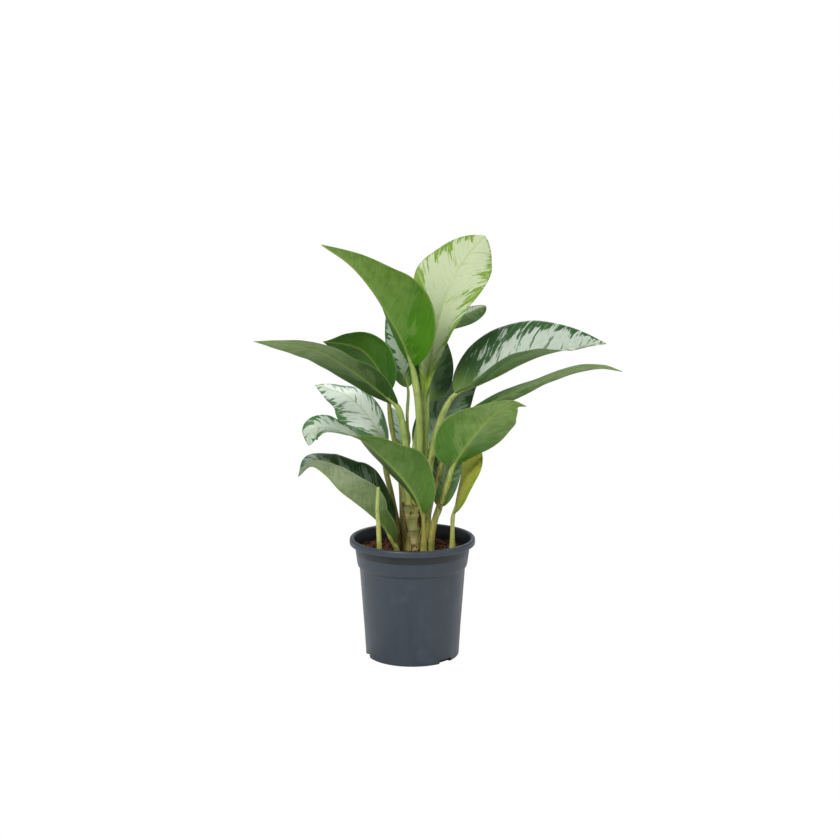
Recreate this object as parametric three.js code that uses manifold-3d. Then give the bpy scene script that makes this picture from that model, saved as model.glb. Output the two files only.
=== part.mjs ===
import * as THREE from "three";
import Module from "manifold-3d";
import { mergeVertices } from "three/addons/utils/BufferGeometryUtils.js";

// Driving dimensions, millimetres. +Z is up, the pot stands on z = 0, the front of the plant faces -Y.
const RIM_RADIUS = 60;
const POT_HEIGHT = 115.3;
const WALL = 1.2;
const FLOOR = 1.5;
const BASE_RADIUS = 44.7;
const STEP_DROP = 27.3;
const STEP_RADIUS = 50.6;
const COLLAR_RADIUS = 52.2;
const NECK_RADIUS = 55;
const LIP_DROP = 6;
const DRAIN_WIDTH = 15;
const DRAIN_HEIGHT = 4;
const DRAIN_TURNS = [-45, -165, 75];
const SOIL_DROP = 12.3;
const FIT_GAP = 0.35;
const SOCKET_DEPTH = 11;
const CANE_FOOT = 8.4;
const CANE_DRAWN = 8.4;
const CROWN_SEAT = 0.8;
const CANE_TOP_RADIUS = 10.6;
const CANE_HEIGHT = 47;
const BLADE_THICK = 1.0;
const BLADE_FOOT = 1.4;
const BLADE_END = 0.6;
const BLADE_ROWS = 13;
const BLADE_COLS = 7;
const JOIN_GAP = 1.0;

// The step and the potting mix lie below the rim, and the cane rises from the mix.
const STEP_Z = POT_HEIGHT - STEP_DROP;
const SOIL_Z = POT_HEIGHT - SOIL_DROP;
const CANE_TOP = SOIL_Z + CANE_HEIGHT;
const SOCKET_FOOT = -SOCKET_DEPTH;
const CROWN_FOOT = CANE_HEIGHT + CROWN_SEAT;

// Points are x, y and height above the potting mix. Each leaf: rib = centre line of the blade from stalk to
// tip; half = half width at the widest place;
// out = compass direction the leaf points, degrees from +X; left and right = lift of each half above the
// level across the rib, degrees, at even steps from stalk to tip (looking outwards, upper side up);
// cup = further turn of each half from rib to edge; early and late = how full the outline is near the
// stalk
// and near the tip; stalk = path of the stalk below the blade; foot, neck = stalk radius at its lower
// and upper end.
const LEAVES = [
  {
    name: "crown_left", half: 41, out: 215, cup: -10, early: 0.75, late: 1.0, foot: 3.3, neck: 3.1,
    left: [25, 52, 50, 30, 25], right: [15, 28, 38, 38, 30],
    rib: [[0, -12, 178], [-9, -26, 203], [-22, -42, 229], [-37, -58, 255], [-55, -72, 277],
          [-79, -84, 295]],
    stalk: [[3, -6, CROWN_FOOT], [6, -6, 77], [7, -5, 110], [5, -8, 147]],
  },
  {
    name: "crown_right", half: 35, out: 70, cup: -10, early: 1.3, late: 0.7, foot: 2.9, neck: 2.3,
    left: [50, 70, 60, 12, 0], right: [40, 45, 35, 5, -25],
    rib: [[11, 5, 145], [17, 8, 181], [25, 14, 217], [38, 24, 255], [52, 34, 277], [69, 42, 296]],
    stalk: [[7, 1, CROWN_FOOT], [12, 3, 87], [12, 4, 122]],
  },
  {
    name: "crown_back", half: 11, out: 45, cup: -20, early: 0.62, late: 0.5, foot: 2.7, neck: 1.5,
    left: [20], right: [-50],
    rib: [[27, 48, 207], [40, 60, 215], [56, 74, 220], [72, 86, 225]],
    stalk: [[-3, 6.4, CROWN_FOOT + 0.6], [1, 19, 87], [10, 39, 147], [18, 46, 191]],
  },
  {
    name: "crown_inner", half: 12, out: 180, cup: -20, early: 0.62, late: 1.0, foot: 2.6, neck: 1.5,
    left: [-70], right: [60],
    rib: [[-4, 6, 156], [-9, 9, 174], [-13, 10, 193], [-18, 9, 210], [-24, 8, 229]],
    stalk: [[-7, 0.5, CROWN_FOOT], [-4, 4, 97], [-5, 6, 129]],
  },
  {
    name: "left_long", half: 25, out: 185, cup: -20, early: 0.62, late: 1.0, foot: 2.9, neck: 2.9,
    left: [35, 50, 38, 36, 30], right: [-18, -22, -25, -28, -25],
    rib: [[-15, -6, 141], [-30, -12, 154], [-56, -24, 176], [-80, -36, 193], [-102, -46, 201],
          [-124, -54, 205],
      [-142, -60, 207]],
    stalk: [[-4, -6, CROWN_FOOT], [-5, -7, 72], [-6, -6, 103], [-10, -6, 127]],
  },
  {
    name: "left_upper", half: 29, out: 180, cup: -20, early: 0.62, late: 1.0, foot: 3.2, neck: 2.4,
    left: [32, 46, 60, 58, 32], right: [-15, -25, -30, -35, -35],
    rib: [[-23, 3, 151], [-30, 2, 171], [-45, -1, 190], [-63, -6, 198], [-83, -10, 201]],
    stalk: [[-9, 10, SOCKET_FOOT], [-9, 11, 27], [-11, 11, 66], [-17, 8, 103], [-21, 5, 125]],
  },
  {
    name: "left_silver", half: 28, out: 140, cup: -20, early: 0.62, late: 1.0, foot: 3.4, neck: 2.7,
    left: [-5, -5, -15, -20, -30], right: [-10, -5, 10, 15, 20],
    rib: [[-27, 18, 95], [-35, 24, 113], [-47, 30, 129], [-62, 35, 142], [-78, 38, 148], [-94, 40, 153]],
    stalk: [[-13, 1, SOCKET_FOOT], [-14, 4, 17], [-20, 11, 50], [-26, 16, 77]],
  },
  {
    name: "left_inner", half: 9, out: 115, cup: -20, early: 0.62, late: 1.0, foot: 2.8, neck: 2.0,
    left: [10], right: [10],
    rib: [[-9, 28, 90], [-12, 44, 106], [-15, 57, 117], [-20, 69, 126]],
    stalk: [[-3, 17, SOCKET_FOOT], [-3, 18, 27], [-4, 20, 67]],
  },
  {
    name: "front_left", half: 31, out: 215, cup: -2, early: 0.7, late: 0.85, foot: 3.0, neck: 1.8,
    left: [15, 60, 25, -10, -25], right: [15, 8, 10, 25, 30],
    rib: [[9, -22, 41], [2, -34, 60], [-12, -46, 82], [-28, -56, 101], [-43, -62, 116],
          [-60, -64, 124],
      [-78, -61, 129], [-91, -58, 125], [-94, -56, 111]],
    stalk: [[10, -13, SOCKET_FOOT], [11, -14, 7], [11, -17, 25]],
  },
  {
    name: "low_left", half: 35, out: 195, cup: -20, early: 0.9, late: 1.0, foot: 3.0, neck: 2.2,
    left: [35, 36, 52, 48, 35], right: [48, 72, 92, 65, 30],
    rib: [[-17, -13, 8], [-28, -15, 27], [-41, -17, 40], [-54, -23, 52], [-67, -30, 64],
          [-80, -36, 80],
      [-93, -41, 89], [-105, -44, 80]],
    stalk: [[-12, -9, SOCKET_FOOT], [-14, -11, -1]],
  },
  {
    name: "right_upper", half: 44, out: 10, cup: -20, early: 0.62, late: 1.0, foot: 3.2, neck: 3.0,
    left: [50, 60, 66, 68, 60], right: [25, 38, 32, 15, 15],
    rib: [[40, 8, 150], [60, 14, 156], [82, 20, 165], [101, 26, 174], [122, 32, 182], [143, 36, 187],
      [165, 38, 191], [186, 40, 193]],
    stalk: [[14, 0, SOCKET_FOOT], [15, 0, 47], [17, 1, 82], [23, 3, 114], [31, 5, 135]],
  },
  {
    name: "right_long", half: 17, out: 5, cup: -20, early: 0.62, late: 1.0, foot: 3.2, neck: 2.6,
    left: [-28, -28, -25, -20, -24], right: [40, 38, 26, 35, 28],
    rib: [[51, 18, 128], [74, 22, 139], [98, 26, 149], [128, 30, 162], [155, 34, 169], [182, 38, 171],
      [202, 40, 166]],
    stalk: [[13, 9, SOCKET_FOOT], [14, 9, 27], [22, 9, 62], [32, 11, 91], [42, 14, 112]],
  },
  {
    name: "right_middle", half: 32, out: -30, cup: -20, early: 0.62, late: 1.0, foot: 3.2, neck: 2.8,
    left: [-5, -12, -18, -35, -55], right: [40, 62, 60, 40, 20],
    rib: [[38, -30, 87], [45, -42, 101], [56, -54, 118], [69, -66, 136], [80, -76, 148], [92, -82, 155],
      [102, -84, 152]],
    stalk: [[17, -8, SOCKET_FOOT], [18, -11, 15], [24, -17, 42], [32, -24, 65]],
  },
  {
    name: "right_yellow", half: 24, out: 20, cup: -20, early: 0.8, late: 1.0, foot: 3.0, neck: 2.0,
    left: [-15, -10, 0, 10, 10], right: [25, 15, 12, 0, 0],
    rib: [[39, -14, 38], [44, -16, 57], [51, -16, 75], [57, -13, 91], [62, -8, 107]],
    stalk: [[38, -12, SOCKET_FOOT], [38, -12, 7], [38, -12, 23]],
  },
  {
    name: "back_upper", half: 19, out: 85, cup: -20, early: 0.62, late: 1.0, foot: 2.7, neck: 2.0,
    left: [10], right: [10],
    rib: [[15, 22, 139], [18, 28, 159], [23, 36, 182], [27, 42, 206]],
    stalk: [[4, 7.2, CROWN_FOOT], [11, 12, 94], [14, 17, 117]],
  },
  {
    name: "back_right", half: 26, out: 60, cup: -20, early: 0.62, late: 1.0, foot: 3.0, neck: 2.2,
    left: [10], right: [10],
    rib: [[12, 28, 83], [21, 36, 107], [34, 45, 130], [50, 55, 149], [70, 64, 162]],
    stalk: [[6, 17, SOCKET_FOOT], [7, 18, 27], [9, 22, 62]],
  },
  {
    name: "back_low", half: 16, out: 60, cup: -20, early: 0.62, late: 1.0, foot: 3.0, neck: 2.2,
    left: [10], right: [10],
    rib: [[27, 24, 36], [31, 31, 62], [36, 40, 90], [42, 47, 113], [50, 52, 131]],
    stalk: [[17, 18, SOCKET_FOOT], [18, 18, 7], [22, 21, 23]],
  },
];

// A dry stalk cut off above the potting mix: its path and its radius at foot and top.
const CUT_STALK = {
  path: [[-30, -36, SOCKET_FOOT], [-31, -42, 27], [-32, -49, 51], [-31, -54, 72]],
  foot: 2.6, top: 1.3,
};

function vec(p) {
  return new THREE.Vector3(p[0], p[1], SOIL_Z + p[2]);
}

// A stalk point beside the cane, moved out when the cane is made thicker than it was drawn.
function stalkPoint(p) {
  const reach = Math.hypot(p[0], p[1]);
  const grow = p[2] < CANE_HEIGHT ? 1 + (CANE_FOOT - CANE_DRAWN) / reach : 1;
  return vec([p[0] * grow, p[1] * grow, p[2]]);
}

function alongPath(points, count) {
  const curve = new THREE.CatmullRomCurve3(points, false, "catmullrom", 0.5);
  curve.arcLengthDivisions = 400;
  return curve.getSpacedPoints(count - 1);
}

function tangents(points) {
  const last = points.length - 1;
  return points.map((p, i) => {
    const a = points[Math.max(0, i - 1)];
    const b = points[Math.min(last, i + 1)];
    return b.clone().sub(a).normalize();
  });
}

// Value at u (0 to 1) of a smooth curve through evenly spaced numbers.
function smoothAt(values, u) {
  if (values.length === 1) {
    return values[0];
  }
  const m = values.length - 1;
  const t = u * m;
  const i = Math.min(Math.floor(t), m - 1);
  const f = t - i;
  const at = (k) => {
    if (k < 0) {
      return 2 * values[0] - values[1];
    }
    if (k > m) {
      return 2 * values[m] - values[m - 1];
    }
    return values[k];
  };
  const p1 = at(i);
  const p2 = at(i + 1);
  const s1 = (p2 - at(i - 1)) / 2;
  const s2 = (at(i + 2) - p1) / 2;
  const f2 = f * f;
  const f3 = f2 * f;
  return (2 * f3 - 3 * f2 + 1) * p1 + (f3 - 2 * f2 + f) * s1 + (3 * f2 - 2 * f3) * p2 + (f3 - f2) * s2;
}

// Outline fullness from 0 at both ends to 1 at the widest place.
function outline(u, early, late) {
  const widest = early / (early + late);
  return Math.pow(u / widest, early) * Math.pow((1 - u) / (1 - widest), late);
}

// A closed solid from a grid of rows of points on the outside, the columns running once round,
// capped with a fan at each end.
function tubeGeometry(rings) {
  const sides = rings[0].length;
  const xyz = [];
  const index = [];
  for (const ring of rings) {
    for (const p of ring) {
      xyz.push(p.x, p.y, p.z);
    }
  }
  for (let i = 0; i < rings.length - 1; i += 1) {
    for (let j = 0; j < sides; j += 1) {
      const a = i * sides + j;
      const b = i * sides + ((j + 1) % sides);
      index.push(a, b, b + sides, a, b + sides, a + sides);
    }
  }
  const end = (rings.length - 1) * sides;
  for (let j = 1; j < sides - 1; j += 1) {
    index.push(0, j + 1, j);
    index.push(end, end + j, end + j + 1);
  }
  const geometry = new THREE.BufferGeometry();
  geometry.setAttribute("position", new THREE.Float32BufferAttribute(xyz, 3));
  geometry.setIndex(index);
  return geometry;
}

// A round stalk along a path, its radius running evenly from foot to top.
function stalkGeometry(path, foot, top, rows = 9, sides = 8) {
  const centre = alongPath(path, rows);
  const dirs = tangents(centre);
  const rings = centre.map((c, i) => {
    const across = new THREE.Vector3(0, 1, 0.02).cross(dirs[i]).normalize();
    const over = dirs[i].clone().cross(across);
    const r = foot + ((top - foot) * i) / (rows - 1);
    const ring = [];
    for (let j = 0; j < sides; j += 1) {
      const a = (2 * Math.PI * j) / sides;
      const side = c.clone().addScaledVector(across, r * Math.cos(a));
      ring.push(side.addScaledVector(over, r * Math.sin(a)));
    }
    return ring;
  });
  return tubeGeometry(rings);
}

// Middle surface of a blade as rows of points from stalk to tip, each row from left edge to right edge.
function bladeRows(leaf) {
  const rib = alongPath(leaf.rib.map(vec), BLADE_ROWS);
  const dirs = tangents(rib);
  const turn = THREE.MathUtils.degToRad(leaf.out);
  const level = new THREE.Vector3(Math.sin(turn), -Math.cos(turn), 0);
  const cup = THREE.MathUtils.degToRad(leaf.cup);
  return rib.map((c, i) => {
    const u = i / (BLADE_ROWS - 1);
    const side = level.clone().addScaledVector(dirs[i], -level.dot(dirs[i])).normalize();
    const up = side.clone().cross(dirs[i]);
    const foot = BLADE_FOOT + (BLADE_END - BLADE_FOOT) * u;
    const wide = leaf.half * outline(u, leaf.early, leaf.late) + foot;
    const row = [];
    for (let j = 0; j < BLADE_COLS; j += 1) {
      const v = -1 + (2 * j) / (BLADE_COLS - 1);
      const lift = THREE.MathUtils.degToRad(smoothAt(v < 0 ? leaf.left : leaf.right, u));
      const a = Math.abs(v);
      const out = (wide * (Math.sin(lift + cup * a) - Math.sin(lift))) / cup;
      const rise = (-wide * (Math.cos(lift + cup * a) - Math.cos(lift))) / cup;
      row.push(c.clone().addScaledVector(side, Math.sign(v) * out).addScaledVector(up, rise));
    }
    return row;
  });
}

// Leaf blade: the middle surface thickened evenly both ways and closed round its edge.
function bladeGeometry(leaf) {
  const rows = bladeRows(leaf);
  const nu = rows.length;
  const nv = rows[0].length;
  const faceUp = rows.map((row, i) => row.map((p, j) => {
    const along = rows[Math.min(nu - 1, i + 1)][j].clone().sub(rows[Math.max(0, i - 1)][j]);
    const cross = row[Math.min(nv - 1, j + 1)].clone().sub(row[Math.max(0, j - 1)]);
    return cross.cross(along).normalize();
  }));
  const rings = rows.map((row, i) => {
    const ring = [];
    for (let j = 0; j < nv; j += 1) {
      ring.push(row[j].clone().addScaledVector(faceUp[i][j], BLADE_THICK / 2));
    }
    for (let j = nv - 1; j >= 0; j -= 1) {
      ring.push(row[j].clone().addScaledVector(faceUp[i][j], -BLADE_THICK / 2));
    }
    return ring;
  });
  return bladeShell(rings, nv);
}

// Closes the rings of a blade; the end caps are strips between the two faces.
function bladeShell(rings, nv) {
  const geometry = tubeGeometry(rings);
  const sides = 2 * nv;
  const body = Array.from(geometry.getIndex().array).slice(0, (rings.length - 1) * sides * 6);
  const end = (rings.length - 1) * sides;
  for (let j = 0; j < nv - 1; j += 1) {
    const a = j;
    const b = j + 1;
    const c = sides - 2 - j;
    const d = sides - 1 - j;
    body.push(a, c, b, a, d, c);
    body.push(end + a, end + b, end + c, end + a, end + c, end + d);
  }
  geometry.setIndex(body);
  return geometry;
}

// The stalk path of a leaf runs on into the line of the blade and stops short of it by the join gap.
function stalkPath(leaf) {
  const rib = alongPath(leaf.rib.map(vec), BLADE_ROWS);
  const start = rib[1].clone().sub(rib[0]).normalize();
  const path = leaf.stalk.map(stalkPoint);
  path.push(rib[0].clone().addScaledVector(start, -6));
  path.push(rib[0].clone().addScaledVector(start, -JOIN_GAP));
  return path;
}

// The socket left in the potting mix round a stalk: the same path below the surface, wider by the fit
// gap.
function socketGeometry(path, foot) {
  const low = path[0].clone();
  const aim = path[1].clone().sub(path[0]).normalize();
  const reach = (SOCKET_DEPTH + 6) / aim.z;
  const points = [low.clone().addScaledVector(aim, -0.5), low.clone().addScaledVector(aim, reach)];
  return stalkGeometry(points, foot + FIT_GAP + 0.35, foot + FIT_GAP + 0.35, 3, 12);
}

const wasm = await Module();
wasm.setup();

function toManifold(geometry) {
  const bare = geometry.clone();
  bare.deleteAttribute("normal");
  bare.deleteAttribute("uv");
  const welded = mergeVertices(bare, 1e-4);
  const solid = new wasm.Manifold(new wasm.Mesh({
    numProp: 3,
    vertProperties: new Float32Array(welded.getAttribute("position").array),
    triVerts: new Uint32Array(welded.getIndex().array),
  }));
  return solid;
}

function fromManifold(solid) {
  const mesh = solid.getMesh();
  const geometry = new THREE.BufferGeometry();
  geometry.setAttribute("position", new THREE.Float32BufferAttribute(Array.from(mesh.vertProperties), 3));
  geometry.setIndex(Array.from(mesh.triVerts));
  return geometry;
}

function lathe(profile, turns) {
  const points = profile.map((p) => new THREE.Vector2(p[0], p[1]));
  const geometry = new THREE.LatheGeometry(points, turns);
  geometry.rotateX(Math.PI / 2);
  return geometry;
}

const plant = new THREE.Group();
plant.name = "potted_evergreen";

function add(name, geometry, colour) {
  geometry.computeVertexNormals();
 
  const mesh = new THREE.Mesh(geometry, new THREE.MeshStandardMaterial({ color: colour, roughness: 0.6 }));
  mesh.name = name;
  plant.add(mesh);
  return mesh;
}

// Nursery pot: foot, taper, step, collar and a turned-down lip, with drain notches cut in the foot.
const rimIn = NECK_RADIUS + 1.2;
const neckZ = POT_HEIGHT - 8.3;
const potProfile = [
  [0, 0], [BASE_RADIUS - 1.1, 0], [BASE_RADIUS, 1.2], [46.3, 28], [48.4, 57],
  [STEP_RADIUS - 0.2, STEP_Z - 3],
  [STEP_RADIUS, STEP_Z - 0.4], [COLLAR_RADIUS, STEP_Z + 0.4], [52.8, STEP_Z + 3], [NECK_RADIUS, neckZ],
  [rimIn, POT_HEIGHT - 2.4], [RIM_RADIUS - 1.8, POT_HEIGHT - 1.9],
  [RIM_RADIUS - 1.3, POT_HEIGHT - LIP_DROP],
  [RIM_RADIUS - 0.3, POT_HEIGHT - LIP_DROP - 0.1], [RIM_RADIUS, POT_HEIGHT - LIP_DROP + 0.9],
  [RIM_RADIUS - 0.2, POT_HEIGHT - 1.2], [RIM_RADIUS - 1.2, POT_HEIGHT], [rimIn + 0.6, POT_HEIGHT],
  [rimIn - 0.6, POT_HEIGHT - 1.2], [NECK_RADIUS - WALL, neckZ], [52.8 - WALL, STEP_Z + 3],
  [COLLAR_RADIUS - WALL - 0.6, STEP_Z - 0.2], [STEP_RADIUS - 0.2 - WALL, STEP_Z - 3], [48.4 - WALL, 57],
  [46.3 - WALL, 28], [BASE_RADIUS - WALL, FLOOR + 0.9], [BASE_RADIUS - WALL - 0.9, FLOOR], [0, FLOOR],
];
let potSolid = toManifold(lathe(potProfile, 40));
for (const turn of DRAIN_TURNS) {
  const notch = new THREE.BoxGeometry(8, DRAIN_WIDTH, DRAIN_HEIGHT + 2);
  notch.translate(BASE_RADIUS - 0.5, 0, DRAIN_HEIGHT / 2 - 1);
  notch.rotateZ(THREE.MathUtils.degToRad(turn));
  potSolid = potSolid.subtract(toManifold(notch));
}
add("pot", fromManifold(potSolid), 0x454c54);

// Potting mix: one plug following the inside of the pot, with a socket for everything that stands in it.
const slack = WALL + FIT_GAP;
const soilProfile = [
  [0, FLOOR + FIT_GAP], [BASE_RADIUS - slack - 1.2, FLOOR + FIT_GAP],
  [BASE_RADIUS - slack - 0.2, FLOOR + 1.4],
  [46.3 - slack - 0.1, 28], [48.4 - slack - 0.1, 57], [STEP_RADIUS - 0.4 - slack, STEP_Z - 3],
  [COLLAR_RADIUS - slack - 1.2, STEP_Z + 0.6], [52.8 - slack - 0.3, STEP_Z + 3.4],
  [NECK_RADIUS - slack - 0.9, SOIL_Z - 1],
  [46, SOIL_Z - 0.4], [30, SOIL_Z], [0, SOIL_Z],
];
let soilSolid = toManifold(lathe(soilProfile, 40));
const caneSocket = [
  [0, SOIL_Z - SOCKET_DEPTH - FIT_GAP], [CANE_FOOT + FIT_GAP, SOIL_Z - SOCKET_DEPTH - FIT_GAP],
  [CANE_FOOT + FIT_GAP + 0.4, SOIL_Z + 5], [0, SOIL_Z + 5],
];
soilSolid = soilSolid.subtract(toManifold(lathe(caneSocket, 24)));
for (const leaf of LEAVES) {
  if (leaf.stalk[0][2] < 0) {
    soilSolid = soilSolid.subtract(toManifold(socketGeometry(stalkPath(leaf), leaf.foot)));
  }
}
soilSolid = soilSolid.subtract(toManifold(socketGeometry(CUT_STALK.path.map(stalkPoint), CUT_STALK.foot)));
add("potting_mix", fromManifold(soilSolid), 0x4a2c1e);

// Jointed cane in the middle, swelling a little at each joint and widening where the crown stalks leave
// it.
const caneLow = SOIL_Z - SOCKET_DEPTH;
const caneAt = (share) => SOIL_Z + CANE_HEIGHT * share;
const caneProfile = [
  [0, caneLow], [CANE_FOOT - 0.6, caneLow], [CANE_FOOT, caneLow + 1], [CANE_FOOT, caneAt(0.11)],
  [CANE_FOOT + 0.5, caneAt(0.17)], [CANE_FOOT - 0.1, caneAt(0.23)], [CANE_FOOT - 0.2, caneAt(0.38)],
  [CANE_FOOT + 0.4, caneAt(0.45)], [CANE_FOOT - 0.1, caneAt(0.51)], [CANE_FOOT, caneAt(0.64)],
  [CANE_FOOT + 0.6, caneAt(0.7)], [CANE_FOOT + 0.6, caneAt(0.79)], [CANE_TOP_RADIUS, CANE_TOP - 3],
  [CANE_TOP_RADIUS, CANE_TOP - 0.8], [CANE_TOP_RADIUS - 0.8, CANE_TOP], [0, CANE_TOP],
];
add("cane", lathe(caneProfile, 20), 0xa08a50);

for (const leaf of LEAVES) {
  add("leaf_" + leaf.name + "_stalk", stalkGeometry(stalkPath(leaf), leaf.foot, leaf.neck), 0xa3b36a);
  add("leaf_" + leaf.name + "_blade", bladeGeometry(leaf), 0x6f9a55);
}
add("cut_stalk", stalkGeometry(CUT_STALK.path.map(stalkPoint), CUT_STALK.foot, CUT_STALK.top), 0xa3a050);

export default plant;
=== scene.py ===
"""Potted chinese evergreen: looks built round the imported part. Metres, +Z up, the front faces -Y."""
import math

import bpy
import numpy as np
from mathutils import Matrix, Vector


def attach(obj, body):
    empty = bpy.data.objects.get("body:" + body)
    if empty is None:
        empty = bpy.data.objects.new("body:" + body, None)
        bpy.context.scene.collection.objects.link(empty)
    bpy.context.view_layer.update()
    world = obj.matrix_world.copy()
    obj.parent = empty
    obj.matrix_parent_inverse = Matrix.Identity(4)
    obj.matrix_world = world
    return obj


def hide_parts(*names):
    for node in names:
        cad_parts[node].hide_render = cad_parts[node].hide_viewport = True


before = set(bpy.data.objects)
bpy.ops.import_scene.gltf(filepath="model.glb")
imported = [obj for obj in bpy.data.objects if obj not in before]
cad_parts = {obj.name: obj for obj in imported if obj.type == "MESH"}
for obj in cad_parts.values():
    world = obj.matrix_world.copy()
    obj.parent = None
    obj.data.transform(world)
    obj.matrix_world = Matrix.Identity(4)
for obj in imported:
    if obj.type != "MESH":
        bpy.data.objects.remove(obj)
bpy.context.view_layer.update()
MM = 0.001

# ---------------------------------------------------------------- sizes in millimetres
RIM_RADIUS = 60.0
POT_HEIGHT = 115.3
WALL = 1.2
BASE_RADIUS = 44.7
STEP_Z = 88.0
SOIL_Z = 103.0
CANE_RADIUS = 8.4
CANE_TOP = 150.0
BLADE_HALF_THICK = 0.28

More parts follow.
